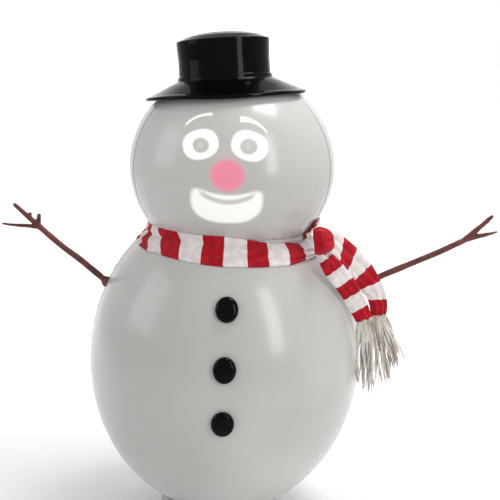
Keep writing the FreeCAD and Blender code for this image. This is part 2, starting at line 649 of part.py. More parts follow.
def make_projector():
    """Lamp, condenser, face slide and focusing lens on one axis, along its own +Z."""
    tilt = math.radians(float(D.lamp_tilt))
    pointing = V(0, -math.cos(tilt), math.sin(tilt))
    across = V(1, 0, 0)
    seat = FreeCAD.Placement(V(0, float(D.bridge_back), float(D.lamp_height)),
                             FreeCAD.Rotation(across, pointing.cross(across), pointing, "ZXY"))

    def seated(name, thing):
        thing.Placement = seat * thing.Placement
        return keep(name, thing)

    can, nose = D.can_radius, D.barrel_radius + D.fit_gap
    shell = turned("can", [
        (can - D.can_wall, -34), (can, -34), (can, 12), (can - 6, 20), (nose + 2, 20), (nose + 2, 44),
        (nose, 44), (nose, 17.5), (can - D.can_wall, 10)])
    trunnions = []
    for side in (-1, 1):
        start = V(side * (float(can) - 2), 0, 0)
        trunnions.append(cylinder("trunnion_%d" % (side + 1), 3, 38 - can, start, along(V(side, 0, 0))))
        stop = cylinder("trunnion_stop_%d" % (side + 1), 6, 5, V(side * (float(can) - 0.6), 0, 0),
                        along(V(side, 0, 0)))
        trunnions.append(stop)
    seated("projector_housing", fuse("can_solid", [shell] + trunnions))

    block = cylinder("sink_block", can - 1, 22, V(0, 0, -56))
    grooves = [box("sink_groove_%d" % i, 3, 2 * can, 16, V(-20 + 6.6667 * i, 0, -57)) for i in range(7)]
    seated("heat_sink", cut("sink", block, grooves))
    seated("led_board", cylinder("board", can - D.can_wall - 0.2, 1.6, V(0, 0, -34)))
    seated("led_emitter", turned("emitter", [(0, -32.4), (5, -32.4), (5, -30.5, 4), (2, -28.6), (0, -28.6)]))
    seated("condenser_lens", turned("condenser", [
        (0, -22), (D.lens_radius, -22), (D.lens_radius, -19, cap_radius(D.lens_radius, 7)), (0, -12)]))
    seated("slide_carrier", turned("carrier", [
        (D.lens_radius - 2, -10), (can - D.can_wall, -10), (can - D.can_wall, -4), (D.lens_radius, -4),
        (D.lens_radius, -6), (D.lens_radius - 2, -6)]))
    seated("face_slide", cylinder("slide_disc", D.lens_radius, 1.2, V(0, 0, -6)))
    barrel = D.barrel_radius
    seated("lens_barrel", ring("barrel", barrel - D.barrel_wall, barrel, 12, 54))
    rim = barrel - D.barrel_wall
    seated("objective_lens", turned("objective", [
        (0, 44, cap_radius(rim, 3)), (rim, 47), (rim, 49, cap_radius(rim, 3)), (0, 52)]))
    grip = turned("focus_grip", [
        (nose + 2 + D.fit_gap, 24), (nose + 8, 24), (nose + 9, 25), (nose + 9, 35), (nose + 8, 36),
        (nose + 2 + D.fit_gap, 36)])
    ribs = []
    for i, at in enumerate(around(nose + 9, 18)):
        ribs.append(cylinder("grip_rib_%d" % i, 1.2, 10, V(at.x, at.y, 25)))
    seated("focus_ring", fuse("focus_solid", [grip] + ribs))


# ---------------------------------------------------------------- head globe, hat

def make_head():
    sizes = (D.head_radius, D.head_half, D.head_mid, D.neck_high, D.top_plate_height)
    keep("head_front_panel", half_globe("head_front", *sizes, front=True))
    keep("head_back_panel", half_globe("head_back", *sizes, front=False))
    rim = oval_radius(D.head_radius, D.head_half, D.top_plate_height - D.head_mid)
    top = D.top_plate_height
    disc = turned("plate_disc", [(0, top), (rim, top), (rim - 1, top + 2), (0, top + 3)])
    keep("head_top_plate", disc)
    post = box("spigot_post", D.spigot, D.spigot, 59)
    post.Placement = hat_place() * place(V(0, 0, 31)) * post.Placement
    keep("hat_spigot", cut("spigot", post, [disc]))


def hat_place():
    lean = math.radians(float(D.hat_lean))
    axis = V(-math.sin(lean), 0, math.cos(lean))
    return place(V(float(D.hat_shift), 0, float(D.hat_height)), along(axis))


def make_hat():
    wall, crown, foot, top = D.hat_wall, D.crown_radius, D.crown_foot, D.crown_top
    dome, lip = top + D.dome_rise, crown - 5
    inner_lip = crown - 6
    shell = turned("hat_outline", [
        (D.brim_radius - 1, 0), (D.brim_radius, 1.5), (D.brim_radius - 1, 3), (crown + 6, foot - 3, -7),
        (crown, foot + 5), (crown - 1, top - 4, 4), (lip, top, cap_radius(lip, D.dome_rise)), (0, dome),
        (0, dome - wall, -cap_radius(inner_lip, D.dome_rise)), (inner_lip, top - wall),
        (crown - wall, top - 6), (crown - wall, foot + 2),
        (crown + 2, foot - 5)])
    shell.Placement = hat_place()
    keep("hat_shell", shell)
    hub_low, hub_high = 48, 88
    plate = ring("hat_web", 10, crown - wall - 1, 60, 63)
    hub = box("hat_hub", D.spigot + 8, D.spigot + 8, hub_high - hub_low, V(0, 0, hub_low))
    bore = box("hat_hub_bore", D.spigot + 0.4, D.spigot + 0.4, 80, V(0, 0, 30))
    socket = cut("hat_socket_solid", fuse("hat_socket_block", [plate, hub]), [bore])
    socket.Placement = hat_place()
    keep("hat_socket", socket)


# ---------------------------------------------------------------- scarf

def slab(name, stations):
    """Flat soft strip through stations of (centre, across, width, thickness)."""
    centres = [V(*centre) for centre, _, _, _ in stations]
    last = len(stations) - 1
    sections = []
    for i, (_, across, width, thick) in enumerate(stations):
        ahead = centres[min(i + 1, last)] - centres[max(i - 1, 0)]
        side = V(*across).normalize()
        depth = side.cross(ahead).normalize()
        corners = [centres[i] + side * (sx * width / 2) + depth * (sy * thick / 2)
                   for sx, sy in ((-1, -1), (1, -1), (1, 1), (-1, 1), (-1, -1))]
        sections.append(Part.makePolygon(corners))
    strip = doc.addObject("Part::Feature", name)
    strip.Shape = Part.makeLoft(sections, True, True)
    return strip


# where the strips run: (centre, across, width) at each station
KNOT_LINE = (((207, -165, 767), (66, 75, 0), 40), ((213, -172, 744), (66, 75, 0), 50),
             ((214, -173, 722), (66, 75, 0), 50), ((211, -171, 706), (66, 75, 0), 42))
FRONT_LINE = (((224, -172, 692), (75, 35, 55), 36), ((245, -156, 656), (78, 34, 52), 40),
              ((275, -140, 620), (80, 32, 46), 42), ((301, -126, 584), (84, 30, 43), 42),
              ((324, -116, 545), (86, 30, 40), 40))
BACK_LINE = (((252, -146, 722), (4, 55, 53), 52), ((286, -122, 692), (20, 58, 45), 56),
             ((319, -102, 660), (43, 60, 30), 58), ((343, -90, 626), (40, 44, 8), 56),
             ((357, -84, 590), (34, 40, -6), 52), ((361, -80, 548), (30, 40, 0), 50))
FRONT_FRINGE = (((325, -116, 543), (86, 30, 40), 40), ((333, -113, 460), (86, 30, 10), 44),
                ((340, -110, 372), (86, 30, 0), 46))
BACK_FRINGE = (((362, -80, 544), (30, 40, 0), 50), ((390, -80, 470), (34, 30, 0), 52),
               ((410, -78, 392), (40, 25, 0), 50))


def make_scarf():
    clear = D.scarf_clear
    keep("scarf_wrap", turned("scarf_band", [
        (230.5 + clear, 690), (250 + clear, 690), (249 + clear, 703), (228 + clear, 734),
        (206 + clear, 750), (196 + clear, 750), (190 + clear, 738), (191 + clear, 729),
        (201.5 + clear, 720), (221.5 + clear, 700)]))
    knot_thick = D.knot_thick.value
    tail_thick = D.tail_thick.value
    fringe_thick = D.fringe_thick.value
    strips = (("scarf_knot", KNOT_LINE, knot_thick),
              ("scarf_tail_front", FRONT_LINE, tail_thick),
              ("scarf_tail_back", BACK_LINE, tail_thick),
              ("scarf_fringe_front", FRONT_FRINGE, fringe_thick),
              ("scarf_fringe_back", BACK_FRINGE, fringe_thick))
    for name, line, thick in strips:
        keep(name, slab(name + "_strip", [(*station, thick) for station in line]))


# ---------------------------------------------------------------- build, check, write

make_base()
make_blower()
make_panel()
make_body()
make_buttons()
make_arms()
make_valve()
make_neck()
make_projector()
make_head()
make_hat()
make_scarf()
doc.recompute()

for thing in doc.Objects:
    if "Invalid" in thing.State or "Error" in thing.State:
        raise RuntimeError("%s failed: %s" % (thing.Name, thing.State))
for name, thing in nodes.items():
    if thing.Shape.isNull() or not thing.Shape.isValid() or thing.Shape.Volume <= 0:
        raise RuntimeError("%s has no valid solid" % name)
for name, thing in nodes.items():
    thing.Shape.exportStep("parts/%s.step" % name)
print("%d sub-parts written" % len(nodes))
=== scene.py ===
import json
import math
import random

import bmesh
import bpy
from mathutils import Matrix, Vector, noise


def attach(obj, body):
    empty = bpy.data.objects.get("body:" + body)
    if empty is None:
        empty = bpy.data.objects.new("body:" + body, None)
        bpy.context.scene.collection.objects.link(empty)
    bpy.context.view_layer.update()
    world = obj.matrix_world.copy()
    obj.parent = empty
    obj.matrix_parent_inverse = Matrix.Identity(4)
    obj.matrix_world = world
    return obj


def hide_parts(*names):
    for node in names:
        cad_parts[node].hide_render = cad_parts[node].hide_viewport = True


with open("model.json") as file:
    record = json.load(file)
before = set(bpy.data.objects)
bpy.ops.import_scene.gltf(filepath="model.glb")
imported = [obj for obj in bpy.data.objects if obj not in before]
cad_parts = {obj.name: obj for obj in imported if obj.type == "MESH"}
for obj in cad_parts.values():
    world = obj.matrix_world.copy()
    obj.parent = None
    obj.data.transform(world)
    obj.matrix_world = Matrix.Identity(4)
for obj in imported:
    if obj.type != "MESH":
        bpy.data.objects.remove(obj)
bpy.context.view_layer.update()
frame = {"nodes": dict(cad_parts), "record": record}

random.seed(7)
UP = Vector((0, 0, 1))


# ---------------------------------------------------------------- camera

def aim_camera(at, pitch, roll, yaw, lens):
    pitch, roll, yaw = (math.radians(d) for d in (pitch, roll, yaw))
    ahead = Vector((-math.sin(yaw) * math.cos(pitch), math.cos(yaw) * math.cos(pitch), math.sin(pitch)))
    side = ahead.cross(UP).normalized()
    top = side.cross(ahead)
    right = side * math.cos(roll) + top * math.sin(roll)
    above = top * math.cos(roll) - side * math.sin(roll)
    data = bpy.data.cameras.new("camera")
    data.lens, data.sensor_width = lens, 36
    camera = bpy.data.objects.new("camera", data)
    bpy.context.scene.collection.objects.link(camera)
    turn = Matrix((right, above, -ahead)).transposed().to_4x4()
    camera.matrix_world = Matrix.Translation(at) @ turn
    bpy.context.scene.camera = camera


aim_camera((0, -1.9412, 1.0555), -10.9, 2.5, -1.5, 58.32)


# ---------------------------------------------------------------- material nodes

class Num:
    """A number in a material. Arithmetic on it makes the nodes."""

    def __init__(self, graph, socket):
        self.graph, self.socket = graph, socket

    def _do(self, op, *values):
        return Num(self.graph, self.graph.maths(op, *values))

    def __add__(self, other):
        return self._do("ADD", self, other)

    def __radd__(self, other):
        return self._do("ADD", other, self)

    def __sub__(self, other):
        return self._do("SUBTRACT", self, other)

    def __rsub__(self, other):
        return self._do("SUBTRACT", other, self)

    def __mul__(self, other):
        return self._do("MULTIPLY", self, other)

    def __rmul__(self, other):
        return self._do("MULTIPLY", other, self)

    def __truediv__(self, other):
        return self._do("DIVIDE", self, other)

    def __abs__(self):
        return self._do("ABSOLUTE", self)

    def power(self, other):
        return self._do("POWER", self, other)

    def low(self, other):
        return self._do("MINIMUM", self, other)

    def high(self, other):
        return self._do("MAXIMUM", self, other)

    def sine(self):
        return self._do("SINE", self)

    def part(self):
        return self._do("FRACT", self)

    def root(self):
        return self._do("SQRT", self)

    def ease(self, start, end, low=0.0, high=1.0):
        """Smooth step from low at start to high at end."""
        node = self.graph.add("ShaderNodeMapRange", interpolation_type="SMOOTHSTEP")
        for name, value in (("Value", self), ("From Min", start), ("From Max", end),
                            ("To Min", low), ("To Max", high)):
            self.graph.plug(node.inputs[name], value)
        return Num(self.graph, node.outputs[0])


class Finish:
    """One material, built by short calls."""

    def __init__(self, name, **constants):
        self.material = bpy.data.materials.new(name)
        self.material.use_nodes = True
        self.tree = self.material.node_tree
        self.shader = self.tree.nodes["Principled BSDF"]
        self.point = self.add("ShaderNodeTexCoord").outputs["Object"]
        for key, value in constants.items():
            self.shader.inputs[key.replace("_", " ")].default_value = value

    def add(self, kind, **settings):
        node = self.tree.nodes.new(kind)
        for key, value in settings.items():
            setattr(node, key, value)
        return node

    def plug(self, socket, value):
        value = value.socket if isinstance(value, Num) else value
        if isinstance(value, bpy.types.NodeSocket):
            self.tree.links.new(value, socket)
        else:
            socket.default_value = value

    def maths(self, op, *values):
        node = self.add("ShaderNodeMath", operation=op)
        for socket, value in zip(node.inputs, values):
            self.plug(socket, value)
        return node.outputs[0]

    def axes(self, point=None):
        node = self.add("ShaderNodeSeparateXYZ")
        self.plug(node.inputs[0], point or self.point)
        return [Num(self, s) for s in node.outputs]

    def uv(self, name):
        node = self.add("ShaderNodeUVMap", uv_map=name)
        return self.axes(node.outputs[0])

    def stretched(self, scale):
        node = self.add("ShaderNodeMapping")
        self.plug(node.inputs["Vector"], self.point)
        node.inputs["Scale"].default_value = scale
        return node.outputs[0]

    def cloud(self, scale, detail=3.0, point=None, rough=0.5):
        node = self.add("ShaderNodeTexNoise")
        self.plug(node.inputs["Vector"], point or self.point)
        node.inputs["Scale"].default_value = scale
        node.inputs["Detail"].default_value = detail
        node.inputs["Roughness"].default_value = rough
        return Num(self, node.outputs[0])

    def cells(self, scale, point=None):
        node = self.add("ShaderNodeTexVoronoi")
        self.plug(node.inputs["Vector"], point or self.point)
        node.inputs["Scale"].default_value = scale
        return Num(self, node.outputs["Distance"])

    def mix(self, amount, first, second, mode="MIX"):
        node = self.add("ShaderNodeMix", data_type="RGBA", blend_type=mode)
        self.plug(node.inputs[0], amount)
        for socket, colour in ((node.inputs[6], first), (node.inputs[7], second)):
            self.plug(socket, (*colour, 1.0) if isinstance(colour, tuple) else colour)
        return node.outputs[2]

    def colour(self, value):
        self.plug(self.shader.inputs["Base Color"], value)

    def rough(self, value):
        self.plug(self.shader.inputs["Roughness"], value)

    def bump(self, height, distance, strength=1.0):
        node = self.add("ShaderNodeBump")
        node.inputs["Strength"].default_value = strength
        node.inputs["Distance"].default_value = distance
        self.plug(node.inputs["Height"], height)
        self.plug(self.shader.inputs["Normal"], node.outputs[0])


def moulded(name, dark, light, rough, grain=700, depth=0.0002, **constants):
    """Moulded or cast surface: cloudy colour, fine grain, rubbed and dusty patches."""
    f = Finish(name, **constants)
    broad, fine = f.cloud(9, 4), f.cloud(grain, 2)
    dust = f.cloud(38, 5, rough=0.7).ease(0.52, 0.78)
    f.colour(f.mix(broad.ease(0.3, 0.7) * 0.7 + dust * 0.3, dark, light))
    f.rough(rough + dust * 0.16 + fine * 0.08)
    f.bump(fine * 0.7 + f.cloud(160, 2) * 0.5, depth)
    return f.material


def metal(name, dark, light, rough, stretch=(1, 1, 18), metallic=1.0, depth=0.0001):
    """Drawn or plated metal: brushed along one axis with duller patches."""
    f = Finish(name, Metallic=metallic)
    brush = f.cloud(320, 3, f.stretched(stretch))
    patch = f.cloud(26, 4)
    f.colour(f.mix(patch.ease(0.3, 0.7), dark, light))
    f.rough(rough + patch * 0.14 + brush * 0.12)
    f.bump(brush, depth)
    return f.material


def vinyl(name, hem, face=False):
    """Glossy milky sheet with faint clouding and a faint painted glow that no lamp gives; the head shows
    instead the light that the projector throws.
    """
    f = Finish(name, IOR=1.42, Coat_Weight=0.25, Coat_Roughness=0.12)
    x, y, z = f.axes()
    haze = f.cloud(2.3, 3)
    speck = f.cloud(24, 2)
    sheet = f.mix(haze.ease(0.3, 0.7), (0.46, 0.452, 0.436), (0.55, 0.54, 0.522))
    f.rough(0.2 + speck * 0.02 + haze * 0.06)
    f.bump(f.cloud(7, 2) * 0.9 + speck * 0.02, 0.0015, 0.4)
    if face:
        nose, light = face_light(f, x, y, z)
        f.plug(f.shader.inputs["Emission Color"], light)
        # painted light: the sheet's own colour is made dull pink under the projected nose, so the projected
        # light reads deeper there
        sheet = f.mix(nose, sheet, (0.20, 0.14, 0.17))
        f.shader.inputs["Emission Strength"].default_value = 1.0
    else:
        # painted glow: a faint cloudy self-glow on the body sheet, though no lamp lights it from inside
        glow = f.mix(haze.ease(0.2, 0.8), (0.012, 0.012, 0.011), (0.03, 0.029, 0.028))
        f.plug(f.shader.inputs["Emission Color"], glow)
        f.shader.inputs["Emission Strength"].default_value = 1.0
    weld = abs(abs(y) / abs(x).high(0.01) - math.tan(hem)).ease(0.018, 0.006)
    f.colour(f.mix(weld * (0.55 if face else 0.2), sheet, (0.16, 0.155, 0.15)))
    return f.material


def circle_through(a, b, c):
    """Centre and radius of the circle through three (x, z) points."""
    d = 2 * (a[0] * (b[1] - c[1]) + b[0] * (c[1] - a[1]) + c[0] * (a[1] - b[1]))
    squares = [p[0] ** 2 + p[1] ** 2 for p in (a, b, c)]
    x = (squares[0] * (b[1] - c[1]) + squares[1] * (c[1] - a[1]) + squares[2] * (a[1] - b[1])) / d
    z = (squares[0] * (c[0] - b[0]) + squares[1] * (a[0] - c[0]) + squares[2] * (b[0] - a[0])) / d
    return x, z, math.dist((x, z), a)


def face_light(f, x, y, z):
    """The projected face, in millimetres across and up the front of the head."""
    across, up = x * 1000.0, z * 1000.0
    front = y.ease(-0.02, -0.08)

    def oval(cx, cz, rx, rz, turn=0.0, square=2.0):
        """Distance from the middle, as a share of the oval's edge; square over 2 fills its corners."""
        c, s = math.cos(math.radians(turn)), math.sin(math.radians(turn))
        u = ((across - cx) * c + (up - cz) * s) / rx
        v = ((up - cz) * c - (across - cx) * s) / rz
        if square == 2.0:
            return (u * u + v * v).root()
        return (abs(u).power(square) + abs(v).power(square)).power(1 / square)

    def lit(shape, soft):
        return shape.ease(1.0 + soft, 1.0 - soft)

    def brow(points, thick, taper):
        cx, cz, radius = circle_through(*points)
        u, v = across - cx, up - cz
        away = abs((u * u + v * v).root() - radius)
        start, end = points[0][0], points[-1][0]
        along = (across - start) / (end - start)
        width = along * (taper - thick) + thick
        ends = along.ease(-0.04, 0.03) * along.ease(1.04, 0.97) * up.ease(cz, cz + 1)
        return (away / width).ease(1.35, 0.65) * ends

    eyes = lit(oval(-69, 946.5, 38.5, 30.5, 17, 2.3), 0.085)
    eyes = eyes.high(lit(oval(34.5, 948, 39, 30.5, -17, 2.3), 0.085))
    irises = [oval(-68.3, 944.7, 17.5, 15.6), oval(33.2, 946.6, 18.5, 16.3)]
    iris = irises[0].low(irises[1])
    eye_grey = iris.ease(1.16, 0.84) * (1.0 - iris.ease(0.62, 0.1, 0.0, 0.16))
    brows = brow(((-47, 1009.6), (-75, 1004.3), (-103, 985)), 3.2, 1.9)
    brows = brows.high(brow(((13, 1002), (45, 996.5), (71, 976.2)), 6.2, 1.5))
    mouth_top = (across + 9.0) * (across + 9.0) * 0.0033 + 843.0
    above = ((up - mouth_top) / 60.0 + 1.0).high(0.0)
    mouth = lit((oval(-9.5, 834.5, 77, 54, 0, 2.5).power(8.0) + above.power(8.0)).power(0.125), 0.075)
    lip_line = (across + 8.0) * (across + 8.0) * 0.0052 + 828.0
    lips = abs(up - lip_line).ease(8.5, 2.0) * abs(across + 9.0).ease(66, 48)
    bright = eyes * (1.0 - eye_grey * 0.9)
    bright = bright.high(brows * 0.88).high(mouth * (1.0 - lips * 0.78) * 0.86)
    nose_at = oval(-9.4, 884.7, 37, 34.5)
    nose = nose_at.ease(1.22, 0.72)
    halo = oval(-12, 905, 56, 62).ease(1.0, 0.1) * 0.20
    glow = f.mix(bright * front, (0.022, 0.021, 0.020), (0.60, 0.595, 0.57))
    glow = f.mix(halo * front, glow, (0.30, 0.14, 0.15))
    return nose * front, f.mix(nose * front, glow, (0.68, 0.13, 0.22))


def fleece(name):
    """Brushed fleece in red and white stripes, counted along the scarf by its own map."""
    f = Finish(name, Sheen_Weight=0.12, Sheen_Roughness=0.5, IOR=1.35, Specular_IOR_Level=0.2)
    f.shader.inputs["Sheen Tint"].default_value = (1.0, 0.9, 0.9, 1.0)
    stripe, width, _ = f.uv("stripes")
    fray = (f.cloud(260, 3) - 0.5) * 0.05
    phase = ((stripe + fray) * 0.5).part()
    red = phase.ease(0.0, 0.012) * phase.ease(0.5, 0.488)
    pile = f.cloud(900, 3)
    tuft = f.cells(520)
    worn = f.cloud(60, 4).ease(0.35, 0.75)
    crimson = f.mix(worn, (0.34, 0.002, 0.010), (0.56, 0.006, 0.022))
    cream = f.mix(worn, (0.74, 0.68, 0.66), (0.88, 0.84, 0.82))
    cloth = f.mix(red, cream, crimson)
    f.colour(f.mix(pile.ease(0.4, 0.7) * 0.25, cloth, f.mix(0.3, cloth, (0.3, 0.1, 0.1))))
    f.rough(0.86 + pile * 0.12)
    ribs = (width * 150.0).sine() * 0.25
    f.bump(pile * 0.6 + tuft * 0.7 + ribs + f.cloud(75, 3) * 0.9, 0.0011, 0.8)
    return f.material


def yarn(name):
    f = Finish(name, Sheen_Weight=0.4, Sheen_Roughness=0.5)
    strand, along, _ = f.uv("stripes")
    shade = f.cloud(30, 4)
    fuzz = f.cloud(700, 3)
    cream = f.mix(shade.ease(0.3, 0.7), (0.50, 0.44, 0.38), (0.82, 0.78, 0.73))
    f.colour(f.mix(fuzz.ease(0.4, 0.7) * 0.3, cream, (0.33, 0.24, 0.18)))
    f.rough(0.85 + fuzz * 0.12)
    twist = (along * 900.0 + strand * 5.0).sine()
    f.bump(twist * 0.5 + fuzz * 0.8, 0.0009, 0.8)
    return f.material


def twig(name):
    """Moulded bark: dark red brown with grooves along the stick."""
    f = Finish(name, IOR=1.45, Coat_Weight=0.15, Coat_Roughness=0.3)
    grain = f.cloud(150, 5, f.stretched((0.35, 1.0, 0.8)), 0.65)
    patch = f.cloud(28, 4)
    base = f.mix(patch.ease(0.3, 0.7), (0.075, 0.013, 0.010), (0.17, 0.034, 0.024))
    f.colour(f.mix(grain.ease(0.45, 0.72) * 0.6, base, (0.028, 0.006, 0.005)))
    f.rough(0.36 + grain * 0.25 + patch * 0.1)
    f.bump(grain + f.cloud(420, 3) * 0.25, 0.0012, 0.8)
    return f.material


def gloss_black(name):
    """Glossy blow moulding: faint orange peel, dust and hairline scratches."""
    f = Finish(name, IOR=1.36, Specular_IOR_Level=0.12, Coat_Weight=0.04, Coat_Roughness=0.05)
    dust = f.cloud(44, 5, rough=0.7).ease(0.56, 0.8)
    scratch = f.cloud(90, 3, f.stretched((1, 1, 26))).ease(0.66, 0.74)
    f.colour(f.mix(dust * 0.5, (0.0015, 0.0015, 0.0017), (0.008, 0.008, 0.009)))
    f.rough(0.10 + dust * 0.10 + scratch * 0.06)
    f.bump(f.cloud(60, 2) * 0.5 + scratch * 0.1, 0.0006, 0.5)
    return f.material


def lens_glass(name):
    f = Finish(name, IOR=1.5, Transmission_Weight=1.0)
    smear = f.cloud(120, 4)
    f.colour(f.mix(smear, (0.90, 0.95, 0.97), (0.97, 0.99, 1.0)))
    f.rough(0.02 + smear * 0.04)
    f.bump(smear, 0.00005)
    return f.material


FINISHES = {
    "base_plastic": moulded("base_plastic", (0.40, 0.40, 0.39), (0.52, 0.52, 0.51), 0.45),
    "white_nylon": moulded("white_nylon", (0.62, 0.62, 0.60), (0.76, 0.76, 0.74), 0.42),
    "globe_vinyl": vinyl("globe_vinyl", 0.052 / 0.330),
    "hat_plastic": gloss_black("hat_plastic"),
    "button_plastic": gloss_black("button_plastic"),
    "arm_plastic": twig("arm_plastic"),
    "scarf_fleece": fleece("scarf_fleece"),
    "fringe_yarn": yarn("fringe_yarn"),
    "steel": metal("steel", (0.45, 0.46, 0.47), (0.66, 0.67, 0.68), 0.25),
    "ballast_iron": moulded("ballast_iron", (0.05, 0.05, 0.055), (0.12, 0.12, 0.125), 0.55, 260, 0.0006,
                            Metallic=0.6),
    "motor_can": metal("motor_can", (0.33, 0.34, 0.36), (0.5, 0.51, 0.53), 0.28),
    "sink_aluminium": metal("sink_aluminium", (0.05, 0.05, 0.055), (0.11, 0.11, 0.12), 0.4, metallic=0.8),
    "clear_optic": lens_glass("clear_optic"),
    "slide_film": moulded("slide_film", (0.16, 0.10, 0.12), (0.36, 0.24, 0.27), 0.2, 900, 0.00005),
    "board": moulded("board", (0.02, 0.10, 0.045), (0.05, 0.2, 0.09), 0.4, 420, 0.0001),
    "soft_rubber": moulded("soft_rubber", (0.02, 0.02, 0.02), (0.05, 0.05, 0.05), 0.7, 500, 0.0003),
    "valve_vinyl": moulded("valve_vinyl", (0.62, 0.63, 0.64), (0.76, 0.77, 0.78), 0.22, 200, 0.0001),
    "lead_jacket": moulded("lead_jacket", (0.02, 0.02, 0.022), (0.05, 0.05, 0.052), 0.55, 600, 0.0001),
}
FACE = vinyl("head_vinyl", 0.094 / 0.2417, face=True)
SKINNED = ("neck_hub", "neck_clamp_upper", "neck_clamp_lower")

for part in frame["record"]["subparts"]:
    node = frame["nodes"][part["node"]]
    node.data.materials.clear()
    slot = "globe_vinyl" if part["node"] in SKINNED else part["material_slot"]
    node.data.materials.append(FINISHES[slot])


# ---------------------------------------------------------------- mesh helpers

def piece(name, vertices, faces, finish, body, replaced, maps=None, smooth=True):
    """A mesh object that rides on a body and stands for some CAD nodes."""
    mesh = bpy.data.meshes.new(name)
    mesh.from_pydata([tuple(v) for v in vertices], [], faces)
    if maps:
        layer = mesh.uv_layers.new(name="stripes")
        for loop in mesh.loops:
            layer.data[loop.index].uv = maps[loop.vertex_index]
    mesh.polygons.foreach_set("use_smooth", [smooth] * len(mesh.polygons))
    mesh.materials.append(finish)
    thing = bpy.data.objects.new(name, mesh)
    bpy.context.scene.collection.objects.link(thing)
    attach(thing, body)
    if replaced:
        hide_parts(*replaced)
    return thing


def grid_faces(rows, columns, wrap):
    """Quads between rows of points, joined round if wrap."""
    faces = []
    for i in range(rows - 1):
        for j in range(columns if wrap else columns - 1):
            k = (j + 1) % columns
            faces.append((i * columns + j, i * columns + k, (i + 1) * columns + k, (i + 1) * columns + j))
    return faces


def spline(points, count):
    """Evenly spread points on a smooth curve through the given ones, of any length."""
    def at(t):
        i = min(int(t), len(points) - 2)
        s = t - i
        a, b = points[max(i - 1, 0)], points[i]
        c, d = points[i + 1], points[min(i + 2, len(points) - 1)]
        return [0.5 * (2 * q + (r - p) * s + (2 * p - 5 * q + 4 * r - u) * s * s
                       + (3 * q - p - 3 * r + u) * s ** 3) for p, q, r, u in zip(a, b, c, d)]
    dense = [at((len(points) - 1) * i / 400) for i in range(401)]
    gone = [0.0]
    for a, b in zip(dense, dense[1:]):
        gone.append(gone[-1] + math.dist(a[:3], b[:3]))
    found, j = [], 0
    for i in range(count):
        want = gone[-1] * i / (count - 1)
        while j < 399 and gone[j + 1] < want:
            j += 1
        s = (want - gone[j]) / max(gone[j + 1] - gone[j], 1e-12)
        found.append([p + (q - p) * min(s, 1.0) for p, q in zip(dense[j], dense[j + 1])])
    return found


def eased_at(table, key):
    """Smooth reading of sorted (key, value) pairs, held at both ends."""
    if key <= table[0][0]:
        return table[0][1]
    for (a, x), (b, y) in zip(table, table[1:]):
        if key <= b:
            s = (key - a) / (b - a)
            return x + (y - x) * s * s * (3 - 2 * s)
    return table[-1][1]


# ---------------------------------------------------------------- globes

BUTTON_HEIGHTS = (("button_top", 0.606), ("button_middle", 0.485), ("button_bottom", 0.367))
BODY = (0.330, 0.3844, 0.413)
HEAD = (0.2417, 0.2261, 0.8808)


def on_oval(size, angle, height):
    """Point and outward direction on an oval, by angle about Z from +X and height."""
    radius, half, mid = size
    rise = (height - mid) / half
    reach = radius * math.sqrt(max(0.0, 1 - rise * rise))
    out = Vector((math.cos(angle) * reach / radius ** 2, math.sin(angle) * reach / radius ** 2, rise / half))
    return Vector((math.cos(angle) * reach, math.sin(angle) * reach, height)), out.normalized()


def globe(name, size, low, high, rings, spokes, hem, finish, replaced, dents=()):
    """Blown globe of two sheets: a welded flange down each side, puckers beside it and at both rims."""
    radius, half, mid = size
    seam_steps = [0.0, 0.0009, 0.0018, 0.0027, 0.0038, 0.0052, 0.0072, 0.010, 0.0135, 0.018, 0.024]
    hem_steps = [hem + d for d in (-0.003, -0.0018, -0.0010, -0.0004, 0.0004, 0.0010, 0.0018, 0.003)]
    near = {s * sign / radius for s in seam_steps + hem_steps for sign in (-1, 1)}
    angles = [a for a in (2 * math.pi * j / spokes for j in range(spokes))
              if abs(math.remainder(a, math.pi)) > 0.026 / radius
              and abs(abs(math.remainder(a, math.pi)) - hem / radius) > 0.0045 / radius]
    angles += [(side + a) % (2 * math.pi) for side in (0.0, math.pi) for a in near]
    angles = sorted(set(round(a, 7) for a in angles))
    start, end = (math.asin((z - mid) / half) for z in (low, high))
    vertices = []
    for i in range(rings + 1):
        height = mid + half * math.sin(start + (end - start) * i / rings)
        for angle in angles:
            at, out = on_oval(size, angle, height)
            off = abs(math.remainder(angle, math.pi)) * math.hypot(at.x, at.y)
            edge = abs(math.remainder(angle, math.pi)) * radius - hem
            lift = 0.0022 * max(0.0, 1 - (off / 0.0031) ** 4) if off < 0.0031 else 0.0
            lift -= 0.0007 * math.exp(-((off - 0.0062) / 0.003) ** 2)
            lift += 0.0007 * (0.5 - 0.5 * math.tanh(edge / 0.0007)) - 0.0006 * math.exp(-(edge / 0.0011) ** 2)
            ripple = noise.noise(Vector((at.y * 14, at.x, height * 74)))
            lift += 0.0012 * ripple * math.exp(-off / 0.02)
            rim = min(height - low, high - height)
            fold = math.sin(angle * 46 + 5 * noise.noise(Vector((at.x * 5, at.y * 5, 3.0))))
            lift += 0.0011 * fold * math.exp(-rim / 0.018)
            lift += 0.0012 * noise.noise(at * 3.1)
            for centre, depth, spread in dents:
                lift -= depth * math.exp(-((at - centre).length / spread) ** 2)
            vertices.append(at + out * lift)
    faces = grid_faces(rings + 1, len(angles), True)
    return piece(name, vertices, faces, finish, "snowman", replaced)


seats = {name: on_oval(BODY, -math.pi / 2, height) for name, height in BUTTON_HEIGHTS}
globe("body_globe", BODY, 0.058, 0.728, 230, 240, 0.052, FINISHES["globe_vinyl"],
      ("body_front_panel", "body_back_panel"), [(seat[0], 0.0042, 0.030) for seat in seats.values()])
globe("head_globe", HEAD, 0.737, 1.080, 170, 220, 0.094, FACE, ("head_front_panel", "head_back_panel"))


# ---------------------------------------------------------------- buttons

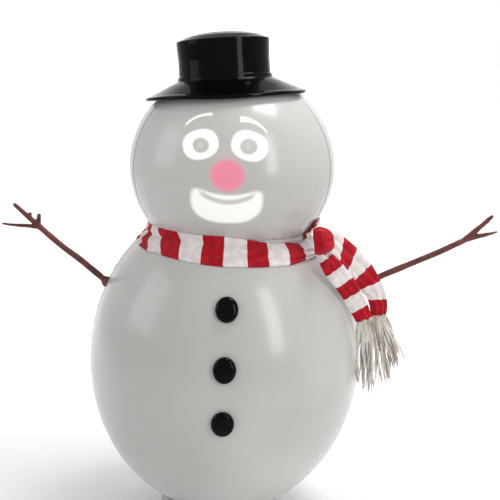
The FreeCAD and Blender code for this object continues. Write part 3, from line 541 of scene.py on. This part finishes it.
def button(name, seat, out):
    """Oval dome with a rolled edge that tucks into its dimple."""
    across = Vector((1, 0, 0))
    up = out.cross(across).normalized()
    outline = [(0.0, 0.0132), (0.30, 0.0129), (0.55, 0.0119), (0.74, 0.0103), (0.87, 0.0082), (0.95, 0.0056),
               (0.99, 0.0030), (1.0, 0.0010), (0.985, -0.0010), (0.95, -0.0022),
               (0.90, -0.0026), (0.0, -0.0026)]
    outline = spline(outline, 44)
    spokes = 72
    vertices, faces = [], []
    for reach, height in outline:
        for j in range(spokes):
            a = 2 * math.pi * j / spokes
            flat = across * (math.cos(a) * 0.0250) - up * (math.sin(a) * 0.0286)
            vertices.append(seat + flat * max(reach, 0.002) + out * height)
    faces = grid_faces(len(outline), spokes, True)
    faces.append(tuple(range(spokes))[::-1])
    finish = FINISHES["button_plastic"]
    return piece(name + "_dome", vertices, faces, finish, "snowman", (name,))


for name, (seat, out) in seats.items():
    button(name, seat, out)


# ---------------------------------------------------------------- hat

def lathe(name, profile, spokes, place, finish, body, replaced, ripple=None):
    """Turned mesh from (radius, height) points, set by a matrix."""
    vertices = []
    for radius, height in profile:
        for j in range(spokes):
            a = 2 * math.pi * j / spokes
            at = Vector((max(radius, 0.00005) * math.cos(a), max(radius, 0.00005) * math.sin(a), height))
            vertices.append(place @ (at + (ripple(a, radius, height) if ripple else Vector())))
    faces = grid_faces(len(profile), spokes, True)
    return piece(name, vertices, faces, finish, body, replaced)


def rounded(corners):
    """A turned outline with rounded corners, given as (radius, height, corner radius)."""
    found = []
    for i, (x, y, r) in enumerate(corners):
        here = Vector((x, y))
        if r == 0 or i in (0, len(corners) - 1):
            found.append((x, y))
            continue
        a = (Vector(corners[i - 1][:2]) - here)
        b = (Vector(corners[i + 1][:2]) - here)
        half = a.angle(b) / 2
        back = min(r / math.tan(half), a.length * 0.49, b.length * 0.49)
        first, last = here + a.normalized() * back, here + b.normalized() * back
        for k in range(7):
            s = k / 6
            found.append(tuple(first * (1 - s) ** 2 + here * (2 * s * (1 - s)) + last * s * s))
    return found


lean = math.radians(5.7)
HAT = Matrix.Translation((-0.022, 0, 1.051)) @ Matrix.Rotation(-lean, 4, "Y")
hat_outline = rounded([
    (0.0, 0.1440, 0), (0.030, 0.1432, 0.01), (0.060, 0.1400, 0.02), (0.085, 0.1340, 0.02),
    (0.1035, 0.1262, 0.006),
    (0.1086, 0.1242, 0.0022), (0.1082, 0.112, 0.01), (0.1064, 0.080, 0.03), (0.1072, 0.0455, 0.002),
    (0.1098, 0.0440, 0.0012), (0.1106, 0.0400, 0.002), (0.1120, 0.0350, 0.004), (0.130, 0.0272, 0.03),
    (0.156, 0.0145, 0.03), (0.176, 0.0052, 0.01), (0.1830, 0.0030, 0.003), (0.1878, 0.0012, 0.003),
    (0.1884, -0.0036, 0.003), (0.1850, -0.0066, 0.002), (0.176, -0.0020, 0.006),
    (0.150, 0.0130, 0.03), (0.118, 0.0290, 0.01),
    (0.1055, 0.0390, 0.004), (0.1045, 0.060, 0.01), (0.1038, 0.116, 0.004), (0.0990, 0.1222, 0.004),
    (0.060, 0.1370, 0.02), (0.0, 0.1412, 0)])


def brim_wave(a, radius, height):
    """Slight wave round the brim and a little give in the crown."""
    out = max(0.0, radius - 0.115) / 0.072
    crown = 0.0006 * math.sin(3 * a + 1.1) if radius < 0.112 and height > 0.03 else 0.0
    wave = out * (0.0022 * math.sin(2 * a + 0.7) + 0.0011 * math.sin(5 * a))
    return Vector((math.cos(a) * crown, math.sin(a) * crown, wave))


lathe("hat_body", hat_outline, 220, HAT, FINISHES["hat_plastic"], "hat", ("hat_shell",),
      brim_wave)


# ---------------------------------------------------------------- arms

def arm(word, side, length, rise, fingers):
    """Bark-textured stick with forks, blended into one mesh by a remesh."""
    rise = math.radians(rise)
    root = Vector((side * 0.295, 0, 0.588))
    out = Vector((side * math.cos(rise), 0, math.sin(rise)))
    up = Vector((-side * math.sin(rise), 0, math.cos(rise)))
    maker = bmesh.new()

    def limb(points, radii):
        line = spline([(*p, r) for p, r in zip(points, radii)], 30)
        rows = []
        for i, (*p, r) in enumerate(line):
            here = Vector(p)
            ahead = (Vector(line[min(i + 1, 29)][:3]) - Vector(line[max(i - 1, 0)][:3])).normalized()
            a = ahead.cross(Vector((0, 1, 0))).normalized()
            b = ahead.cross(a)
            knot = 1 + 0.10 * noise.noise(here * 45 + Vector((side, 0, 0)))
            ends = math.sqrt(max(0.05, 1 - max(0.0, (i - 27) / 2.2) ** 2))
            rows.append([maker.verts.new(here + (a * math.cos(t) + b * math.sin(t)) * (r * knot * ends))
                         for t in (2 * math.pi * j / 18 for j in range(18))])
        for row, following in zip(rows, rows[1:]):
            for j in range(18):
                maker.faces.new((row[j], row[(j + 1) % 18], following[(j + 1) % 18], following[j]))
        maker.faces.new(rows[0][::-1])
        maker.faces.new(rows[-1])

    def at(across, along, depth=0.0):
        return root + out * along + up * across + Vector((0, depth, 0))

    shaft = [at(0, -0.036), at(0, 0.016), at(0.0004, length * 0.35, 0.001), at(-0.0012, length * 0.7, -0.0012),
             at(0, length + 0.004)]
    limb(shaft, [0.0077, 0.0077, 0.0078, 0.0074, 0.0072])
    for points, radii in fingers:
        limb([at(a, length + b) for a, b in points], radii)
    bmesh.ops.recalc_face_normals(maker, faces=maker.faces)
    rough = bpy.data.meshes.new(word + "_rough")
    maker.to_mesh(rough)
    maker.free()
    stick = bpy.data.objects.new(word + "_rough", rough)
    bpy.context.scene.collection.objects.link(stick)
    remesh = stick.modifiers.new("remesh", "REMESH")
    remesh.mode, remesh.voxel_size = "VOXEL", 0.0014
    soften = stick.modifiers.new("soften", "CORRECTIVE_SMOOTH")
    soften.iterations, soften.use_only_smooth = 3, True
    done = bpy.data.meshes.new_from_object(stick.evaluated_get(bpy.context.evaluated_depsgraph_get()))
    bpy.data.objects.remove(stick)
    vertices = []
    for v in done.vertices:
        q = v.co - root
        along, across, deep = q.dot(out), q.dot(up), q.y
        groove = noise.noise(Vector((along * 22, across * 260, deep * 260)))
        knots = noise.noise(v.co * 70)
        inside = 0.0 if along < 0.018 else 1.0
        vertices.append(v.co + v.normal * (0.0007 * groove + 0.0004 * knots) * inside)
    faces = [tuple(p.vertices) for p in done.polygons]
    return piece("stick_" + word, vertices, faces, FINISHES["arm_plastic"], "stick_" + word, ("arm_" + word,))


arm("left", -1, 0.209, 38.4, [
    ([(0, -0.004), (0.0012, 0.018), (0.002, 0.036), (0.004, 0.084)], [0.0072, 0.0068, 0.0063, 0.0046]),
    ([(0, 0.0), (-0.016, 0.024), (-0.036, 0.050), (-0.053, 0.076)], [0.0056, 0.0050, 0.0038, 0.0025]),
    ([(0.001, 0.006), (0.013, 0.014), (0.025, 0.022)], [0.0058, 0.0052, 0.0046]),
    ([(0.002, 0.032), (0.008, 0.037), (0.013, 0.040)], [0.0048, 0.0045, 0.0041])])
arm("right", 1, 0.318, 26.4, [
    ([(0, -0.006), (0.010, 0.026), (0.019, 0.054), (0.028, 0.080)], [0.0072, 0.0066, 0.0056, 0.0045]),
    ([(0, -0.004), (-0.004, 0.026), (-0.010, 0.052), (-0.014, 0.076)], [0.0066, 0.0056, 0.0042, 0.0027])])


# ---------------------------------------------------------------- scarf wrap

MM = 0.001
# the band's showing width is split between the outer layer, down to the fold, and the layer under it
OUTER_SHARE = 0.66
# stripes, in degrees of turn round the neck
STRIPE_PITCH = 13.2
STRIPE_START = -42.5
PINCH_AT, PINCH_REACH, PINCH_DRAG = -58, 22, 12.5
TOP_LEAN, LOW_LEAN = 4.3, -2.6
# heights of the band's three edges by angle round the neck, 0 at the chin and 70 at the knot
TOP_EDGE = [(-300, 771), (-140, 763), (-60, 745), (-5, 745), (35, 728), (70, 716)]
FOLD_EDGE = [(-300, 744), (-100, 712), (-48, 699), (0, 708), (20, 708), (45, 697), (70, 698)]
LOW_EDGE = [(-300, 728), (-140, 700), (-50, 696), (0, 687), (30, 687), (70, 698)]


def stripe_at(phi, top_share, low_share):
    """Stripe number at an angle: even along the band, leaning, and dragged back where the side is pinched."""
    drag = PINCH_DRAG * math.exp(-((phi - PINCH_AT) / PINCH_REACH) ** 2)
    sideways = math.sin(math.radians(phi))
    lean = top_share * (TOP_LEAN * sideways - drag) + low_share * LOW_LEAN * sideways
    return (phi - lean - STRIPE_START) / STRIPE_PITCH


def body_reach(height):
    return BODY[0] * math.sqrt(1 - ((height * MM - BODY[2]) / BODY[1]) ** 2) * 1000


def head_reach(height):
    rise = (height * MM - HEAD[2]) / HEAD[1]
    return HEAD[0] * math.sqrt(max(0.0, 1 - rise * rise)) * 1000


def lies_at(height):
    """Radius of whatever the scarf lies on at that height, in millimetres."""
    low, high = body_reach(min(height, 746)), head_reach(max(height, 740)) if height > 738 else 0
    return max(low, high, 190)


def wrap_scarf():
    """The two showing layers of the folded scarf, pleated lengthwise at the side and at the knot."""
    turns, rows = 620, 26
    vertices, maps = [], []
    for i in range(turns + 1):
        phi = -296 + 360.0 * i / turns
        top, fold, low = (eased_at(t, phi) for t in (TOP_EDGE, FOLD_EDGE, LOW_EDGE))
        drift = noise.noise(Vector((phi * 0.03, 2.0, 0.0)))
        side_pleats = math.exp(-((phi + 76) / 20) ** 2) + math.exp(-((phi + 128) / 26) ** 2) * 0.7
        knot_pleats = math.exp(-((phi - 62) / 15) ** 2) + math.exp(-((phi + 292) / 26) ** 2)
        pleats = 0.16 + 1.0 * side_pleats + 1.0 * knot_pleats
        turn = math.radians(phi)
        out = Vector((math.sin(turn), -math.cos(turn), 0))
        for j in range(rows + 1):
            s = j / rows
            if s <= OUTER_SHARE:
                t = s / OUTER_SHARE
                height = top + 1.5 + (fold - top - 1.5) * t
                bulge = 3.6 + 4.4 * math.sin(math.pi * min(1.0, t * 1.03)) ** 0.7 + 1.2 * t
                if t < 0.12:
                    bulge -= (0.12 - t) * 24
            else:
                t = (s - OUTER_SHARE) / (1 - OUTER_SHARE)
                height = fold + (low - fold) * t
                bulge = 2.2 + 3.0 * math.sin(math.pi * min(1.0, 0.12 + t * 0.86))
                bulge -= 1.4 * max(0.0, t - 0.8) * 5
            wrinkle = math.sin(s * 21 + 2.2 * drift + phi * 0.035) * 2.3 * pleats
            wrinkle += 0.7 * noise.noise(Vector((phi * 0.06, s * 3.0, 1.0)))
            wrinkle += 0.35 * noise.noise(Vector((phi * 0.4, s * 9.0, 5.0)))
            reach = lies_at(height) + bulge + max(-1.8, wrinkle)
            vertices.append(out * reach * MM + UP * (height * MM))
            stripe = stripe_at(phi, 1 - t, 0) if s <= OUTER_SHARE else stripe_at(phi, 0, t)
            maps.append((stripe + 0.03 * noise.noise(Vector((phi * 0.05, s * 2.4, 8.0))), s * 0.78))
    faces = [f[::-1] for f in grid_faces(turns + 1, rows + 1, False)]
    return soft_strip("scarf_wrap_cloth", vertices, faces, maps, ("scarf_wrap",), 0.0026)


def soft_strip(name, vertices, faces, maps, replaced, thick, finish="scarf_fleece"):
    """A cloth piece given its thickness, kept as plain mesh."""
    thing = piece(name, vertices, faces, FINISHES[finish], "snowman", replaced, maps)
    solid = thing.modifiers.new("thickness", "SOLIDIFY")
    solid.thickness, solid.offset = thick, 0.0
    solid.use_even_offset = False
    graph = bpy.context.evaluated_depsgraph_get()
    mesh = bpy.data.meshes.new_from_object(thing.evaluated_get(graph))
    thing.modifiers.clear()
    thing.data = mesh
    mesh.polygons.foreach_set("use_smooth", [True] * len(mesh.polygons))
    return thing


def run_strip(name, line, replaced, columns, rows, pleat, stripe_start, stripe_length, thick, roll=0.0):
    """A strip along (x, y, z, across, width) stations in millimetres, pleated along its length."""
    flat = [(*p, *a, w) for p, a, w in line]
    path = spline(flat, rows)
    vertices, maps, gone = [], [], 0.0
    for i, station in enumerate(path):
        here, across, width = Vector(station[:3]), Vector(station[3:6]).normalized(), station[6]
        before, after = path[max(i - 1, 0)], path[min(i + 1, rows - 1)]
        ahead = (Vector(after[:3]) - Vector(before[:3])).normalized()
        facing = across.cross(ahead).normalized()
        if facing.y > 0:
            facing = -facing
        if i:
            gone += (here - Vector(path[i - 1][:3])).length
        s = i / (rows - 1)
        for j in range(columns):
            t = 2 * j / (columns - 1) - 1
            tube = abs(math.sin(math.pi * (t * 1.45 + 0.25 + 0.16 * math.sin(s * 5))))
            lift = pleat * (tube ** 0.55 - 0.45)
            lift -= roll * abs(t) ** 3
            lift += 1.4 * noise.noise(Vector((s * 7, t * 2.0, len(name))))
            ease = width / 2 * t * (1 - 0.05 * math.sin(s * 9 + t * 2))
            vertices.append((here + across * ease + facing * lift) * MM)
            maps.append((stripe_start + gone / stripe_length + 0.05 * noise.noise(Vector((t * 2, s * 6, 2))),
                         0.4 + t * 0.2))
    faces = grid_faces(rows, columns, False)
    return soft_strip(name, vertices, faces, maps, replaced, thick)


BACK_TAIL = (((212, -166, 738), (10, 20, 62), 50), ((236, -152, 730), (6, 22, 60), 62),
             ((257, -141, 710), (12, 24, 58), 70), ((281, -126, 684), (26, 26, 52), 74),
             ((310, -108, 656), (44, 28, 34), 72), ((336, -95, 625), (50, 24, 14), 64),
             ((354, -86, 596), (46, 22, -2), 54), ((361, -82, 568), (40, 22, -2), 50),
             ((361, -80, 545), (38, 22, 0), 44))
FRONT_TAIL = (((218, -178, 702), (72, 40, 50), 38), ((232, -170, 684), (75, 35, 55), 44),
              ((253, -157, 656), (78, 34, 52), 48), ((280, -141, 623), (80, 32, 46), 48),
              ((303, -127, 587), (84, 30, 43), 46), ((318, -119, 556), (86, 30, 40), 41),
              ((325, -116, 543), (86, 30, 40), 38))


def tie_knot():
    """The puffed loop of scarf that goes over the two ends."""
    rings, spokes = 54, 56
    line = spline([(199, -158, 770, 8), (203, -164, 766, 21), (208, -171, 755, 27.5), (210, -176, 742, 29),
                   (210, -177, 728, 27), (207, -174, 717, 21), (204, -169, 711, 12),
                   (202, -166, 708, 4)], rings)
    across = Vector((0.66, 0.75, 0)).normalized()
    out = Vector((0.75, -0.66, 0)).normalized()
    vertices, maps = [], []
    for i, (x, y, z, half) in enumerate(line):
        s = i / (rings - 1)
        for j in range(spokes):
            a = 2 * math.pi * j / spokes
            crease = 1 + 0.07 * math.cos(a * 5 + 2.5 * s)
            crease += 0.07 * noise.noise(Vector((math.cos(a), math.sin(a), s * 3)))
            pinch = 1 - 0.16 * math.exp(-((s - 0.46) / 0.1) ** 2) * max(0.0, math.sin(a))
            vertices.append((Vector((x, y, z)) + across * (math.cos(a) * half * crease)
                             + out * (math.sin(a) * half * 0.66 * crease * pinch)) * MM)
            maps.append((0.2 + 0.6 * s, math.cos(a) * 0.2 + 0.5))
    faces = grid_faces(rings, spokes, True)
    faces.append(tuple(range(spokes)))
    faces.append(tuple((rings - 1) * spokes + j for j in range(spokes))[::-1])
    return piece("scarf_knot_cloth", vertices, faces, FINISHES["scarf_fleece"], "snowman", ("scarf_knot",),
                 maps)


def fringe(name, start, across, count, tips, length_spread, replaced):
    """Separate yarn strands that hang from a tail's end and gather towards their tips."""
    vertices, faces, maps = [], [], []
    columns, rows = 6, 26
    for k in range(count):
        u = (k + 0.5) / count - 0.5
        root = Vector(start) + Vector(across) * u + Vector((0, random.uniform(-5, 3), random.uniform(0, 4)))
        tip = Vector(tips[0]).lerp(Vector(tips[1]), u + 0.5 + random.uniform(-0.12, 0.12))
        tip += Vector((random.uniform(-6, 6), random.uniform(-10, 8), random.uniform(0, length_spread)))
        middle = root.lerp(tip, 0.5) + Vector((random.uniform(-5, 8), random.uniform(-7, 5), 0))
        path = spline([tuple(root), tuple(root.lerp(middle, 0.5) + Vector((random.uniform(-2, 3), 0, 2))),
                       tuple(middle), tuple(middle.lerp(tip, 0.55) + Vector((random.uniform(-4, 4), 0, 0))),
                       tuple(tip)], rows)
        twist, wide = random.uniform(-0.5, 0.5), random.uniform(6.0, 10.5)
        base = len(vertices)
        for i, p in enumerate(path):
            s = i / (rows - 1)
            width = wide * (0.75 + 0.5 * math.sin(s * 8 + k)) * 0.5 * (1 - s ** 6 * 0.8)
            angle = twist + 0.7 * s + 0.45 * math.sin(s * 6 + k * 1.7)
            for j in range(columns):
                a = 2 * math.pi * j / columns
                flat = Vector((math.cos(angle), math.sin(angle), 0)) * (math.cos(a) * width)
                deep = Vector((-math.sin(angle), math.cos(angle), 0)) * (math.sin(a) * width * 0.22)
                vertices.append((Vector(p) + flat + deep) * MM)
                maps.append((k + j / columns, s * 0.14))
        for f in grid_faces(rows, columns, True):
            faces.append(tuple(base + v for v in f))
        faces.append(tuple(base + j for j in range(columns))[::-1])
        faces.append(tuple(base + (rows - 1) * columns + j for j in range(columns)))
    return piece(name, vertices, faces, FINISHES["fringe_yarn"], "snowman", replaced, maps)


wrap = wrap_scarf()
knot = tie_knot()
tail_back = run_strip("scarf_tail_back_cloth", BACK_TAIL, ("scarf_tail_back",),
                      49, 90, 4.6, 0.75, 43, 0.0026, 4.0)
tail_front = run_strip("scarf_tail_front_cloth", FRONT_TAIL, ("scarf_tail_front",),
                       33, 60, 3.2, 0.1, 42, 0.0026, 3.0)
fringe_back = fringe("fringe_back_yarn", (361, -81, 549), (34, 24, 0), 34,
                     ((384, -92, 366), (430, -68, 424)), 44, ("scarf_fringe_back",))
fringe_front = fringe("fringe_front_yarn", (325, -116, 547), (36, 10, 8), 30,
                      ((320, -112, 376), (364, -104, 352)), 36, ("scarf_fringe_front",))


# ---------------------------------------------------------------- floor and light

def floor():
    f = Finish("floor_paper")
    f.colour(f.mix(f.cloud(3, 3), (0.80, 0.80, 0.80), (0.83, 0.83, 0.83)))
    f.rough(0.6 + f.cloud(40, 3) * 0.2)
    f.bump(f.cloud(500, 2), 0.0002)
    mesh = bpy.data.meshes.new("floor")
    bend = [(-9.0, 0.0)] + [(4.0 + 2.0 * math.sin(a), 2.0 - 2.0 * math.cos(a)) for a in
                            (math.radians(d) for d in range(0, 91, 6))] + [(6.0, 5.0)]
    rows = [[(x, y, z) for x in (-9, 9)] for y, z in bend]
    mesh.from_pydata([p for row in rows for p in row], [], grid_faces(len(rows), 2, False))
    mesh.polygons.foreach_set("use_smooth", [True] * len(mesh.polygons))
    mesh.materials.append(f.material)
    thing = bpy.data.objects.new("floor", mesh)
    bpy.context.scene.collection.objects.link(thing)


def softbox(name, at, target, width, height, power, tint=(1, 1, 1)):
    data = bpy.data.lights.new(name, "AREA")
    data.shape, data.size, data.size_y = "RECTANGLE", width, height
    data.energy, data.color = power, tint
    lamp = bpy.data.objects.new(name, data)
    lamp.location = at
    lamp.rotation_euler = (Vector(target) - Vector(at)).to_track_quat("-Z", "Y").to_euler()
    bpy.context.scene.collection.objects.link(lamp)


floor()
softbox("overhead", (0.9, 0.3, 3.4), (0, 0, 0.9), 1.5, 1.0, 52)
softbox("strip_right", (1.8, -2.0, 1.9), (0, 0, 0.7), 0.6, 2.2, 26)
softbox("fill_left", (-3.0, -0.6, 1.9), (0, 0, 0.6), 1.6, 2.0, 18)
softbox("backdrop_light", (0, 2.2, 3.2), (0, 5.0, 0.6), 4.0, 1.0, 160)

world = bpy.data.worlds.new("studio")
world.use_nodes = True
world.node_tree.nodes["Background"].inputs["Color"].default_value = (0.94, 0.945, 0.95, 1)
world.node_tree.nodes["Background"].inputs["Strength"].default_value = 0.62
bpy.context.scene.world = world
bpy.context.scene.view_settings.view_transform = "Standard"
